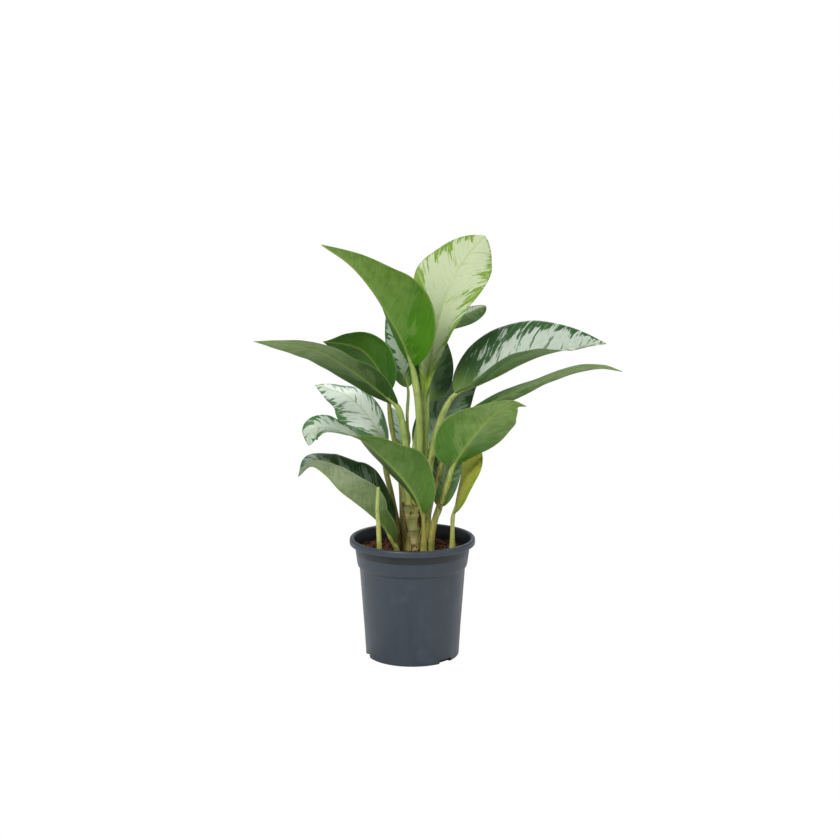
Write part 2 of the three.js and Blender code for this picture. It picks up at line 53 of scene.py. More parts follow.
# Leaves, lengths in mm and angles in degrees.
# rib: centre line from stalk to tip. half: half width at the widest place. out: compass direction.
# left, right: lift of each half above the level, from stalk to tip. cup: further turn from rib to edge.
# early, late: fullness near the stalk and near the tip. wave: height of the edge's waves.
# stalk: path of the stalk. foot, neck: its radius at the bottom and at the blade.
# under: underside colour near the stalk and near the tip. top: pale and dark colour of the pattern.
# pale: how much of the blade is pale (0 to 1). flecks: strength of the dark flecks in the pale part.
# shade: how far the pale part keeps away from the stalk. tint: upper side's colour next to the stalk.
# through: how strongly the pale part shows on the underside. spots: true for brown specks and dead patches.
LEAVES = {
    "crown_left": dict(
        half=41, out=215, cup=-10, early=0.75, late=1.0, foot=3.3, neck=3.1,
        left=[25, 52, 50, 30, 25], right=[15, 28, 38, 38, 30],
        rib=[[0, -12, 281], [-9, -26, 306], [-22, -42, 332], [-37, -58, 358], [-55, -72, 380], [-79, -84, 398]],
        stalk=[[3, -6, 148], [6, -6, 180], [7, -5, 213], [5, -8, 250]],
        wave=0.6, under=("#4a850c", "#7aa03e"), top=("#b9c9b0", "#4c7a3a"), pale=0.6, through=0.22),
    "crown_right": dict(
        half=35, out=70, cup=-10, early=1.3, late=0.7, foot=2.9, neck=2.3,
        left=[50, 70, 60, 12, 0], right=[40, 45, 35, 5, -25],
        rib=[[11, 5, 248], [17, 8, 284], [25, 14, 320], [38, 24, 358], [52, 34, 380], [69, 42, 399]],
        stalk=[[7, 1, 148], [12, 3, 190], [12, 4, 225]],
        wave=0.5, under=("#7fa53a", "#6f9238"), top=("#c8d3ac", "#7a9c34"), pale=0.72,
        flecks=0.35, shade=0.0, tint="#9fc024"),
    "crown_back": dict(
        half=11, out=45, cup=-20, early=0.62, late=0.5, foot=2.7, neck=1.5,
        left=[20], right=[-50],
        rib=[[27, 48, 310], [40, 60, 318], [56, 74, 323], [72, 86, 328]],
        stalk=[[-3, 6.4, 148], [1, 19, 190], [10, 39, 250], [18, 46, 294]],
        wave=0.4, under=("#6d8c50", "#7d9a62"), top=("#86a06c", "#5f8144"), pale=0.4),
    "crown_inner": dict(
        half=12, out=180, cup=-20, early=0.62, late=1.0, foot=2.6, neck=1.5,
        left=[-70], right=[60],
        rib=[[-4, 6, 259], [-9, 9, 277], [-13, 10, 296], [-18, 9, 313], [-24, 8, 332]],
        stalk=[[-7, 0.5, 148], [-4, 4, 200], [-5, 6, 232]],
        wave=0.4, under=("#5f8f3c", "#6f9850"), top=("#b7c8b4", "#3f6b36"), pale=0.5, tint="#6a9030"),
    "left_long": dict(
        half=25, out=185, cup=-20, early=0.62, late=1.0, foot=2.9, neck=2.9,
        left=[35, 50, 38, 36, 30], right=[-18, -22, -25, -28, -25],
        rib=[[-15, -6, 244], [-30, -12, 257], [-56, -24, 279], [-80, -36, 296], [-102, -46, 304],
             [-124, -54, 308], [-142, -60, 310]],
        stalk=[[-4, -6, 148], [-5, -7, 175], [-6, -6, 206], [-10, -6, 230]],
        wave=0.9, under=("#33590f", "#8fa470"), top=("#b9c9b0", "#4c7a3a"), pale=0.6, through=0.25),
    "left_upper": dict(
        half=29, out=180, cup=-20, early=0.62, late=1.0, foot=3.2, neck=2.4,
        left=[32, 46, 60, 58, 32], right=[-15, -25, -30, -35, -35],
        rib=[[-23, 3, 254], [-30, 2, 274], [-45, -1, 293], [-63, -6, 301], [-83, -10, 304]],
        stalk=[[-9, 10, 92], [-9, 11, 130], [-11, 11, 169], [-17, 8, 206], [-21, 5, 228]],
        wave=0.5, under=("#3a760a", "#47761c"), top=("#b9c9b0", "#4c7a3a"), pale=0.6, through=0.12),
    "left_silver": dict(
        half=28, out=140, cup=-20, early=0.62, late=1.0, foot=3.4, neck=2.7,
        left=[-5, -5, -15, -20, -30], right=[-10, -5, 10, 15, 20],
        rib=[[-27, 18, 198], [-35, 24, 216], [-47, 30, 232], [-62, 35, 245], [-78, 38, 251], [-94, 40, 256]],
        stalk=[[-13, 1, 92], [-14, 4, 120], [-20, 11, 153], [-26, 16, 180]],
        wave=0.7, under=("#5f8f3c", "#6f9850"), top=("#dde7db", "#4c7844"), pale=0.62),
    "left_inner": dict(
        half=9, out=115, cup=-20, early=0.62, late=1.0, foot=2.8, neck=2.0,
        left=[10], right=[10],
        rib=[[-9, 28, 193], [-12, 44, 209], [-15, 57, 220], [-20, 69, 229]],
        stalk=[[-3, 17, 92], [-3, 18, 130], [-4, 20, 170]],
        wave=0.3, under=("#4f7040", "#4f7040"), top=("#8ea694", "#31552c"), pale=0.5),
    "front_left": dict(
        half=31, out=215, cup=-2, early=0.7, late=0.85, foot=3.0, neck=1.8,
        left=[15, 60, 25, -10, -25], right=[15, 8, 10, 25, 30],
        rib=[[9, -22, 144], [2, -34, 163], [-12, -46, 185], [-28, -56, 204], [-43, -62, 219], [-60, -64, 227],
             [-78, -61, 232], [-91, -58, 228], [-94, -56, 214]],
        stalk=[[10, -13, 92], [11, -14, 110], [11, -17, 128]],
        wave=0.6, under=("#5f8636", "#6c8f46"), top=("#c3d0c0", "#41703a"), pale=0.66, through=0.18),
    "low_left": dict(
        half=35, out=195, cup=-20, early=0.9, late=1.0, foot=3.0, neck=2.2,
        left=[35, 36, 52, 48, 35], right=[48, 72, 92, 65, 30],
        rib=[[-17, -13, 111], [-28, -15, 130], [-41, -17, 143], [-54, -23, 155], [-67, -30, 167],
             [-80, -36, 183], [-93, -41, 192], [-105, -44, 183]],
        stalk=[[-12, -9, 92], [-14, -11, 102]],
        wave=0.6, under=("#6a8546", "#b0be98"), top=("#7f9280", "#294624"), pale=0.5, through=0.25),
    "right_upper": dict(
        half=44, out=10, cup=-20, early=0.62, late=1.0, foot=3.2, neck=3.0,
        left=[50, 60, 66, 68, 60], right=[25, 38, 32, 15, 15],
        rib=[[40, 8, 253], [60, 14, 259], [82, 20, 268], [101, 26, 277], [122, 32, 285], [143, 36, 290],
             [165, 38, 294], [186, 40, 296]],
        stalk=[[14, 0, 92], [15, 0, 150], [17, 1, 185], [23, 3, 217], [31, 5, 238]],
        wave=0.6, under=("#3f6e1e", "#5c8338"), top=("#c9d4c6", "#335a2c"), pale=0.66, shade=0.6),
    "right_long": dict(
        half=17, out=5, cup=-20, early=0.62, late=1.0, foot=3.2, neck=2.6,
        left=[-28, -28, -25, -20, -24], right=[40, 38, 26, 35, 28],
        rib=[[51, 18, 231], [74, 22, 242], [98, 26, 252], [128, 30, 265], [155, 34, 272], [182, 38, 274],
             [202, 40, 269]],
        stalk=[[13, 9, 92], [14, 9, 130], [22, 9, 165], [32, 11, 194], [42, 14, 215]],
        wave=0.6, under=("#33690c", "#9bb080"), top=("#c2d0bd", "#4c7a3a"), pale=0.6),
    "right_middle": dict(
        half=32, out=-30, cup=-20, early=0.62, late=1.0, foot=3.2, neck=2.8,
        left=[-5, -12, -18, -35, -55], right=[40, 62, 60, 40, 20],
        rib=[[38, -30, 190], [45, -42, 204], [56, -54, 221], [69, -66, 239], [80, -76, 251], [92, -82, 258],
             [102, -84, 255]],
        stalk=[[17, -8, 92], [18, -11, 118], [24, -17, 145], [32, -24, 168]],
        wave=0.6, under=("#568430", "#8cab56"), top=("#b9c9b0", "#4c7a3a"), pale=0.6, through=0.28),
    "right_yellow": dict(
        half=24, out=20, cup=-20, early=0.8, late=1.0, foot=3.0, neck=2.0,
        left=[-15, -10, 0, 10, 10], right=[25, 15, 12, 0, 0],
        rib=[[39, -14, 141], [44, -16, 160], [51, -16, 178], [57, -13, 194], [62, -8, 210]],
        stalk=[[38, -12, 92], [38, -12, 110], [38, -12, 126]],
        wave=0.5, under=("#a3a63e", "#a9ad48"), top=("#a9aa40", "#8a9a30"), pale=0.7, spots=1.6),
    # back_upper: its top and underside colours are darker than the leaf's own, as painted shade for a leaf at the
    # back under the crown.
    "back_upper": dict(
        half=19, out=85, cup=-20, early=0.62, late=1.0, foot=2.7, neck=2.0,
        left=[10], right=[10],
        rib=[[15, 22, 242], [18, 28, 262], [23, 36, 285], [27, 42, 309]],
        stalk=[[4, 7.2, 148], [11, 12, 197], [14, 17, 220]],
        wave=0.4, under=("#3f6428", "#3f5f2c"), top=("#55704e", "#2a4a22"), pale=0.5),
    "back_right": dict(
        half=26, out=60, cup=-20, early=0.62, late=1.0, foot=3.0, neck=2.2,
        left=[10], right=[10],
        rib=[[12, 28, 186], [21, 36, 210], [34, 45, 233], [50, 55, 252], [70, 64, 265]],
        stalk=[[6, 17, 92], [7, 18, 130], [9, 22, 165]],
        wave=0.5, under=("#4a6c34", "#4a6c34"), top=("#7d947b", "#33562b"), pale=0.55),
    "back_low": dict(
        half=16, out=60, cup=-20, early=0.62, late=1.0, foot=3.0, neck=2.2,
        left=[10], right=[10],
        rib=[[27, 24, 139], [31, 31, 165], [36, 40, 193], [42, 47, 216], [50, 52, 234]],
        stalk=[[17, 18, 92], [18, 18, 110], [22, 21, 126]],
        wave=0.4, under=("#5a7c3c", "#4f7040"), top=("#7f9a70", "#3f6334"), pale=0.5),
}
CUT_STALK = [[-30, -36, 92], [-31, -42, 130], [-32, -49, 154], [-31, -54, 175]]
CUT_STALK_RADII = [2.7, 2.4, 1.9, 1.3]


# ---------------------------------------------------------------- curves and surfaces
def unit(a):
    """Vectors scaled to length one."""
    return a / np.maximum(np.linalg.norm(a, axis=-1, keepdims=True), 1e-9)


def hermite(p0, p1, p2, p3, f):
    """Smooth step from p1 to p2 whose slopes are half the steps between each one's neighbours."""
    f2, f3 = f * f, f * f * f
    return ((2 * f3 - 3 * f2 + 1) * p1 + (f3 - 2 * f2 + f) * (p2 - p0) / 2
            + (3 * f2 - 2 * f3) * p2 + (f3 - f2) * (p3 - p1) / 2)


def path(points, count):
    """Evenly spaced points on the smooth curve through the given ones, ends continued straight."""
    p = np.asarray(points, float)
    a = np.vstack([2 * p[0] - p[1], p, 2 * p[-1] - p[-2]])
    m = len(p) - 1
    t = np.linspace(0, m, m * 60 + 1)
    i = np.minimum(t.astype(int), m - 1)
    c = hermite(a[i], a[i + 1], a[i + 2], a[i + 3], (t - i)[:, None])
    s = np.concatenate([[0], np.cumsum(np.linalg.norm(np.diff(c, axis=0), axis=1))])
    q = np.linspace(0, s[-1], count)
    return np.stack([np.interp(q, s, c[:, k]) for k in range(3)], axis=1)


def smooth(values, u):
    """The value at u (0 to 1) of a smooth curve through evenly spaced numbers."""
    v = np.asarray(values, float)
    if len(v) == 1:
        return np.full_like(u, v[0])
    a = np.concatenate([[2 * v[0] - v[1]], v, [2 * v[-1] - v[-2]]])
    t = u * (len(v) - 1)
    i = np.minimum(t.astype(int), len(v) - 2)
    return hermite(a[i], a[i + 1], a[i + 2], a[i + 3], t - i)


def ripple(x, y, seed):
    """Soft uneven waves between about -1 and 1, three sines crossed at unrelated directions."""
    return (np.sin(1.0 * x + 0.6 * y + seed) + np.sin(-0.7 * x + 1.3 * y + 2.1 * seed + 1)
            + np.sin(1.9 * x - 0.9 * y + 3.7 * seed + 2)) / 3


def mesh_object(name, xyz, faces, materials, slots=None, uvs=None, smooth_angle=None):
    """A mesh object at the origin from points in mm and quads or triangles; uvs maps a name to per-vertex pairs."""
    mesh = bpy.data.meshes.new(name)
    mesh.from_pydata((np.asarray(xyz) * MM).tolist(), [], faces if isinstance(faces, list) else faces.tolist())
    for m in materials:
        mesh.materials.append(m)
    if slots is not None:
        mesh.polygons.foreach_set("material_index", np.asarray(slots, np.int32))
    corner = np.empty(len(mesh.loops), np.int32)
    mesh.loops.foreach_get("vertex_index", corner)
    for uv_name, pairs in (uvs or {}).items():
        layer = mesh.uv_layers.new(name=uv_name)
        layer.data.foreach_set("uv", np.asarray(pairs, np.float32)[corner].ravel())
    mesh.polygons.foreach_set("use_smooth", np.ones(len(mesh.polygons), bool))
    if smooth_angle:
        mesh.set_sharp_from_angle(angle=math.radians(smooth_angle))
    mesh.update()
    ob = bpy.data.objects.new(name, mesh)
    bpy.context.scene.collection.objects.link(ob)
    return ob


def grid_faces(rows, cols, wrap=False, start=0):
    """Quads of a grid numbered row by row; wrap joins the last column to the first."""
    i, j = np.meshgrid(np.arange(rows - 1), np.arange(cols if wrap else cols - 1), indexing="ij")
    k = (j + 1) % cols
    return (start + np.stack([i * cols + j, i * cols + k, (i + 1) * cols + k, (i + 1) * cols + j], -1)).reshape(-1, 4)


# ---------------------------------------------------------------- colours and shader nodes
def rgb(code):
    """A screen colour such as #4a2c1e as linear light with full opacity."""
    c = [int(code[i:i + 2], 16) / 255 for i in (1, 3, 5)]
    return tuple([x / 12.92 if x <= 0.04045 else ((x + 0.055) / 1.055) ** 2.4 for x in c] + [1.0])


def node(tree, kind, inputs=None, **settings):
    """Adds a shader node; inputs maps a socket name or number to a constant or to another node's socket."""
    n = tree.nodes.new(kind)
    for key, value in settings.items():
        setattr(n, key, value)
    for key, value in (inputs or {}).items():
        if isinstance(value, bpy.types.NodeSocket):
            tree.links.new(value, n.inputs[key])
        else:
            n.inputs[key].default_value = value
    return n


def maths(tree, op, a, b=0.0, clamp=False):
    return node(tree, "ShaderNodeMath", {0: a, 1: b}, operation=op, use_clamp=clamp).outputs[0]


def ramp(tree, x, low, high, out_low=0.0, out_high=1.0):
    """Smooth step from out_low to out_high as x goes from low to high."""
    n = node(tree, "ShaderNodeMapRange", {0: x, 1: low, 2: high, 3: out_low, 4: out_high},
             interpolation_type="SMOOTHSTEP")
    return n.outputs[0]


def blend(tree, fac, a, b, how="MIX"):
    n = tree.nodes.new("ShaderNodeMix")
    n.data_type = "RGBA"
    n.blend_type = how
    n.clamp_factor = True
    for socket, value in ((n.inputs[0], fac), (n.inputs[6], a), (n.inputs[7], b)):
        if isinstance(value, bpy.types.NodeSocket):
            tree.links.new(value, socket)
        else:
            socket.default_value = value
    return n.outputs[2]


def noise(tree, vector, scale, detail=3.0, rough=0.55):
    n = node(tree, "ShaderNodeTexNoise", {"Vector": vector, "Scale": scale, "Detail": detail, "Roughness": rough})
    return n.outputs[0]


def combine(tree, x, y, z=0.0):
    return node(tree, "ShaderNodeCombineXYZ", {0: x, 1: y, 2: z}).outputs[0]


def material(name):
    mat = bpy.data.materials.new(name)
    mat.use_nodes = True
    tree = mat.node_tree
    tree.nodes.clear()
    return mat, tree


def finish_surface(tree, colour, rough, height=None, bump=0.3, distance=0.0003, see_through=None, share=0.0,
                   gloss=0.35, coat=0.0):
    """Ends a material: a principled surface, a bump from a height in 0 to 1, and some light let through."""
    surface = node(tree, "ShaderNodeBsdfPrincipled", {"Base Color": colour, "Roughness": rough,
                                                      "Specular IOR Level": gloss, "Coat Weight": coat,
                                                      "Coat Roughness": 0.25})
    if height is not None:
        b = node(tree, "ShaderNodeBump", {"Strength": bump, "Distance": distance, "Height": height})
        tree.links.new(b.outputs[0], surface.inputs["Normal"])
    out = node(tree, "ShaderNodeOutputMaterial")
    if see_through is None:
        tree.links.new(surface.outputs[0], out.inputs[0])
        return
    thin = node(tree, "ShaderNodeBsdfTranslucent", {"Color": see_through})
    both = node(tree, "ShaderNodeMixShader", {0: share, 1: surface.outputs[0], 2: thin.outputs[0]})
    tree.links.new(both.outputs[0], out.inputs[0])


def leaf_coordinates(tree, seed):
    """u: 0 at the stalk to 1 at the tip, a: 0 at the rib to 1 at the edge, x: mm along the rib, y: mm out from it,
    t: the same all along one curved side vein, and different on each half and each leaf."""
    uv = node(tree, "ShaderNodeSeparateXYZ", {0: node(tree, "ShaderNodeUVMap", uv_map="leaf").outputs[0]})
    mm = node(tree, "ShaderNodeSeparateXYZ", {0: node(tree, "ShaderNodeUVMap", uv_map="mm").outputs[0]})
    u = uv.outputs[0]
    across = maths(tree, "SUBTRACT", maths(tree, "MULTIPLY", uv.outputs[1], 2.0), 1.0)
    a = maths(tree, "ABSOLUTE", across)
    side = maths(tree, "GREATER_THAN", across, 0.0)
    x = maths(tree, "MULTIPLY", mm.outputs[0], 200.0)
    y = maths(tree, "ABSOLUTE", maths(tree, "SUBTRACT", maths(tree, "MULTIPLY", mm.outputs[1], 200.0), 100.0))
    bend = maths(tree, "MULTIPLY", maths(tree, "MULTIPLY", y, y), 0.008)
    t = maths(tree, "SUBTRACT", maths(tree, "SUBTRACT", x, maths(tree, "MULTIPLY", y, 0.75)), bend)
    t = maths(tree, "ADD", t, maths(tree, "MULTIPLY", side, 37.0))
    t = maths(tree, "ADD", t, float(seed) * 61.0)
    return u, a, x, y, t


def vein_lines(tree, t, y):
    """Side veins every 7 mm, a little unevenly, as narrow dips from 1 down to 0 at each vein."""
    sway = maths(tree, "MULTIPLY", noise(tree, combine(tree, t, y), 0.05, 1.0), 5.0)
    turn = maths(tree, "MULTIPLY", maths(tree, "ADD", t, sway), 2 * math.pi / 7.0)
    wave = maths(tree, "ABSOLUTE", maths(tree, "SINE", maths(tree, "MULTIPLY", turn, 0.5)))
    return ramp(tree, wave, 0.0, 0.35)


def feathering(tree, u, a, t, y, amount, shade):
    """1 in the pale middle of a blade and 0 in its dark margin, the border torn along the side veins."""
    place = combine(tree, maths(tree, "MULTIPLY", t, 0.34), maths(tree, "MULTIPLY", y, 0.09))
    fine = noise(tree, place, 1.0, 5.0)
    place = combine(tree, maths(tree, "MULTIPLY", t, 0.08), maths(tree, "MULTIPLY", y, 0.05))
    broad = noise(tree, place, 1.0, 2.0)
    feather = maths(tree, "ADD", maths(tree, "MULTIPLY", maths(tree, "SUBTRACT", fine, 0.5), 1.7),
                    maths(tree, "MULTIPLY", maths(tree, "SUBTRACT", broad, 0.5), 1.8))
    reach = maths(tree, "ADD", maths(tree, "SUBTRACT", 0.35 + amount * 0.75, a), feather)
    reach = maths(tree, "SUBTRACT", reach, ramp(tree, u, 0.1, 0.5, shade, 0.0))
    return ramp(tree, reach, 0.0, 0.13)


def leaf_top(name, pale, dark, amount, seed, spots=0.0, shade=0.35, foot="#7f9a4c", flecks=0.8):
    """Upper side: pale middle broken by dark feathering and flecks that follow the side veins, dark margin."""
    mat, tree = material(name)
    u, a, x, y, t = leaf_coordinates(tree, seed)
    keep = feathering(tree, u, a, t, y, amount, shade)
    place = combine(tree, maths(tree, "MULTIPLY", t, 1.6), maths(tree, "MULTIPLY", y, 0.1))
    streak = noise(tree, place, 1.0, 3.0)
    place = combine(tree, maths(tree, "MULTIPLY", t, 0.2), maths(tree, "MULTIPLY", y, 0.055), 7.0)
    fleck = noise(tree, place, 1.0, 4.0)
    light = blend(tree, ramp(tree, streak, 0.45, 0.75, 0.0, 0.3), rgb(pale), rgb(dark))
    light = blend(tree, ramp(tree, fleck, 0.56, 0.63, 0.0, flecks), light, rgb(dark))
    deep = blend(tree, ramp(tree, fleck, 0.30, 0.44, 0.55, 0.0), rgb(dark), rgb(pale))
    colour = blend(tree, keep, deep, light)
    colour = blend(tree, ramp(tree, y, 0.5, 1.8, 0.4, 0.0), colour, rgb("#a3b56c"))
    colour = blend(tree, ramp(tree, maths(tree, "ADD", u, maths(tree, "MULTIPLY", y, 0.004)), 0.05, 0.3, 0.9, 0.0),
                   colour, rgb(foot))
    veins = vein_lines(tree, t, y)
    if spots:
        colour = brown_spots(tree, colour, x, y, seed)
    height = maths(tree, "ADD", maths(tree, "MULTIPLY", veins, 0.7), maths(tree, "MULTIPLY", streak, 0.3))
    finish_surface(tree, colour, 0.42, height, 0.5, 0.0004, blend(tree, 0.6, colour, rgb("#8fc03c")), 0.22, 0.4)
    return mat


def brown_spots(tree, colour, x, y, seed):
    """Small brown specks and a few larger dead patches."""
    place = combine(tree, x, y, float(seed))
    speck = ramp(tree, noise(tree, place, 0.55, 2.0), 0.60, 0.66)
    patch = ramp(tree, noise(tree, place, 0.13, 3.0), 0.62, 0.70)
    colour = blend(tree, maths(tree, "MULTIPLY", speck, 0.75), colour, rgb("#6b4a1c"))
    return blend(tree, maths(tree, "MULTIPLY", patch, 0.6), colour, rgb("#7d6a28"))


def leaf_under(name, near, far, amount, seed, spots=0.0, through=0.5, pale="#a5b878"):
    """Underside: green running from stalk to tip; the pale pattern of the upper side shows through softly."""
    mat, tree = material(name)
    u, a, x, y, t = leaf_coordinates(tree, seed)
    cloud = noise(tree, combine(tree, x, y, float(seed)), 0.035, 3.0)
    along = maths(tree, "ADD", u, maths(tree, "MULTIPLY", maths(tree, "SUBTRACT", cloud, 0.5), 0.5))
    colour = blend(tree, ramp(tree, along, 0.15, 0.95), rgb(near), rgb(far))
    keep = feathering(tree, u, a, t, y, amount, 0.6)
    colour = blend(tree, maths(tree, "MULTIPLY", keep, through), colour, rgb(pale))
    blotch = noise(tree, combine(tree, x, y, float(seed) + 3.0), 0.11, 4.0)
    colour = blend(tree, ramp(tree, blotch, 0.42, 0.7, 0.0, 0.35), colour, rgb("#3f6a18"))
    veins = vein_lines(tree, t, y)
    fine = noise(tree, combine(tree, maths(tree, "MULTIPLY", t, 0.5), maths(tree, "MULTIPLY", y, 0.05)), 1.0, 5.0)
    colour = blend(tree, ramp(tree, fine, 0.35, 0.75, 0.0, 0.32), colour, rgb("#2f560e"))
    colour = blend(tree, maths(tree, "MULTIPLY", maths(tree, "SUBTRACT", 1.0, veins), 0.06), colour, rgb("#a9c46a"))
    colour = blend(tree, ramp(tree, y, 0.4, 1.9, 0.65, 0.0), colour, rgb("#9db559"))
    colour = blend(tree, ramp(tree, a, 0.95, 1.0, 0.0, 0.4), colour, rgb("#b9c97c"))
    if spots:
        colour = brown_spots(tree, colour, x, y, seed)
    height = maths(tree, "SUBTRACT", maths(tree, "MULTIPLY", fine, 0.4), maths(tree, "MULTIPLY", veins, 0.6))
    finish_surface(tree, colour, 0.5, height, 0.25, 0.0003, blend(tree, 0.5, colour, rgb("#7fb51c")), 0.28, 0.22)
    return mat


def stalk_material(name, main, low, spots=0.0):
    """Stalk: green-yellow with fine lengthwise streaks, yellower low down, brown specks if asked."""
    mat, tree = material(name)
    place = node(tree, "ShaderNodeTexCoord").outputs["Object"]
    parts = node(tree, "ShaderNodeSeparateXYZ", {0: place})
    z = maths(tree, "MULTIPLY", parts.outputs[2], 1000.0)
    squash = node(tree, "ShaderNodeMapping", {0: place, 3: (1.0, 1.0, 0.06)}).outputs[0]
    streak = noise(tree, squash, 900.0, 3.0)
    blotch = noise(tree, place, 90.0, 3.0)
    colour = blend(tree, ramp(tree, z, 110.0, 200.0), rgb(low), rgb(main))
    colour = blend(tree, ramp(tree, streak, 0.4, 0.7, 0.0, 0.45), colour, rgb("#c6cd88"))
    colour = blend(tree, ramp(tree, blotch, 0.45, 0.7, 0.0, 0.55), colour, rgb("#64802e"))
    if spots:
        stretched = node(tree, "ShaderNodeMapping", {0: place, 3: (1.0, 1.0, 0.3)}).outputs[0]
        speck = ramp(tree, noise(tree, stretched, 260.0, 5.0), 0.60, 0.68)
        colour = blend(tree, maths(tree, "MULTIPLY", speck, spots), colour, rgb("#6b4520"))
    finish_surface(tree, colour, 0.42, streak, 0.4, 0.0003, colour, 0.08, 0.4)
    return mat


def cane_material():
    """Cane: straw, olive and green patches, large dark scars, thin uneven rings at the joints."""
    mat, tree = material("cane tissue")
    place = node(tree, "ShaderNodeTexCoord").outputs["Object"]
    flat = node(tree, "ShaderNodeMapping", {0: place, 3: (1.0, 1.0, 0.8)}).outputs[0]
    patch = noise(tree, flat, 70.0, 4.0)
    green = ramp(tree, noise(tree, flat, 48.0, 3.0), 0.5, 0.58)
    scar = ramp(tree, noise(tree, flat, 82.0, 5.0), 0.50, 0.54)
    z = maths(tree, "MULTIPLY", node(tree, "ShaderNodeSeparateXYZ", {0: place}).outputs[2], 1000.0)
    sway = maths(tree, "MULTIPLY", noise(tree, place, 60.0, 2.0), 7.0)
    wave = maths(tree, "SINE", maths(tree, "MULTIPLY", maths(tree, "ADD", z, sway), math.pi / 12.5))
    ring = ramp(tree, maths(tree, "ABSOLUTE", wave), 0.0, 0.2, 0.5, 0.0)
    colour = blend(tree, ramp(tree, patch, 0.35, 0.65), rgb("#8f8a4a"), rgb("#cdbf8a"))
    colour = blend(tree, maths(tree, "MULTIPLY", green, 0.6), colour, rgb("#7c8a44"))
    colour = blend(tree, maths(tree, "MULTIPLY", scar, 0.9), colour, rgb("#43290f"))
    colour = blend(tree, ring, colour, rgb("#5c4020"))
    finish_surface(tree, colour, 0.6, patch, 0.6, 0.0008)
    return mat


def pot_material():
    """Moulded plastic: slate grey, faint mottling and vertical wipe marks, slightly dusty; the inner wall above the
    potting mix is darkened nearly to black as painted shade.
    """
    mat, tree = material("pot plastic")
    place = node(tree, "ShaderNodeTexCoord").outputs["Object"]
    tall = node(tree, "ShaderNodeMapping", {0: place, 3: (1.0, 1.0, 0.15)}).outputs[0]
    wipe = noise(tree, tall, 120.0, 4.0)
    grain = noise(tree, place, 1500.0, 2.0)
    dust = noise(tree, place, 60.0, 5.0)
    colour = blend(tree, ramp(tree, wipe, 0.35, 0.7, 0.0, 0.5), rgb("#2e3740"), rgb("#363f49"))
    colour = blend(tree, ramp(tree, dust, 0.52, 0.75, 0.0, 0.35), colour, rgb("#46505a"))
    parts = node(tree, "ShaderNodeSeparateXYZ", {0: place})
    reach = node(tree, "ShaderNodeVectorMath", {0: combine(tree, parts.outputs[0], parts.outputs[1])},
                 operation="LENGTH").outputs["Value"]
    # Painted shade: the inner wall above the potting mix is darkened towards #14171a, a little unevenly where the
    # dust noise is high.
    inside = maths(tree, "MULTIPLY", ramp(tree, reach, 0.0555, 0.0562, 1.0, 0.0),
                   ramp(tree, parts.outputs[2], 0.1005, 0.1015))
    painted_inner_shade = maths(tree, "ADD", maths(tree, "MULTIPLY", inside, 0.75),
                 maths(tree, "MULTIPLY", ramp(tree, dust, 0.45, 0.65), 0.2), clamp=True)
    colour = blend(tree, maths(tree, "MULTIPLY", painted_inner_shade, inside), colour, rgb("#14171a"))
    rough = ramp(tree, wipe, 0.3, 0.75, 0.36, 0.5)
    finish_surface(tree, colour, rough, grain, 0.15, 0.0001, gloss=0.4)
    return mat


def soil_material(name, dark, light):
    mat, tree = material(name)
    place = node(tree, "ShaderNodeTexCoord").outputs["Object"]
    fleck = noise(tree, place, 420.0, 4.0)
    colour = blend(tree, ramp(tree, fleck, 0.35, 0.7), rgb(dark), rgb(light))
    finish_surface(tree, colour, 0.95, fleck, 0.8, 0.0008, gloss=0.1)
    return mat


# ---------------------------------------------------------------- leaf blades and stalks
def blade_surface(leaf, rows, cols, seed):
    """Middle surface of a blade. At each place along the rib, a half starts at its lift and turns by cup on
    its way to the edge; the half width is half times (u/m)^early ((1-u)/(1-m))^late, m the widest place."""
    rib = path(leaf["rib"], rows)
    u = np.linspace(0, 1, rows)
    along = unit(np.gradient(rib, axis=0))
    turn = math.radians(leaf["out"])
    level = np.array([math.sin(turn), -math.cos(turn), 0.0])
    side = unit(level - (along @ level)[:, None] * along)
    up = np.cross(side, along)
    widest = leaf["early"] / (leaf["early"] + leaf["late"])
    full = (u / widest) ** leaf["early"] * ((1 - u) / (1 - widest)) ** leaf["late"]
    wide = (leaf["half"] * full + 1.4 + (0.3 - 1.4) * u)[:, None]
    v = np.linspace(-1, 1, cols)[None, :]
    cup = math.radians(leaf["cup"])
    lift = np.radians(np.where(v < 0, smooth(leaf["left"], u)[:, None], smooth(leaf["right"], u)[:, None]))
    a = np.abs(v)
    out = wide * (np.sin(lift + cup * a) - np.sin(lift)) / cup
    rise = -wide * (np.cos(lift + cup * a) - np.cos(lift)) / cup
    grid = rib[:, None] + (np.sign(v) * out)[..., None] * side[:, None] + rise[..., None] * up[:, None]
    length = np.sum(np.linalg.norm(np.diff(rib, axis=0), axis=1))
    x = u[:, None] * length + 0 * v
    y = wide * v
    normal = unit(np.cross(np.gradient(grid, axis=1), np.gradient(grid, axis=0)))
    fade = np.sin(math.pi * np.clip(u, 0, 1))[:, None]
    wave = leaf["wave"] * a ** 2 * fade * ripple(x / 9 + 3 * (v > 0), y / 30, seed)
    t = x - 0.75 * np.abs(y) - 0.008 * y ** 2
    swell = np.abs(np.sin(math.pi * (t + 37 * (v > 0)) / 7))
    quilt = 0.06 * fade * swell * np.minimum(1, 3 * a) * (1 - a ** 4)
    grid = grid + (wave + quilt)[..., None] * normal
    return grid, unit(np.cross(np.gradient(grid, axis=1), np.gradient(grid, axis=0))), x, y, u, v


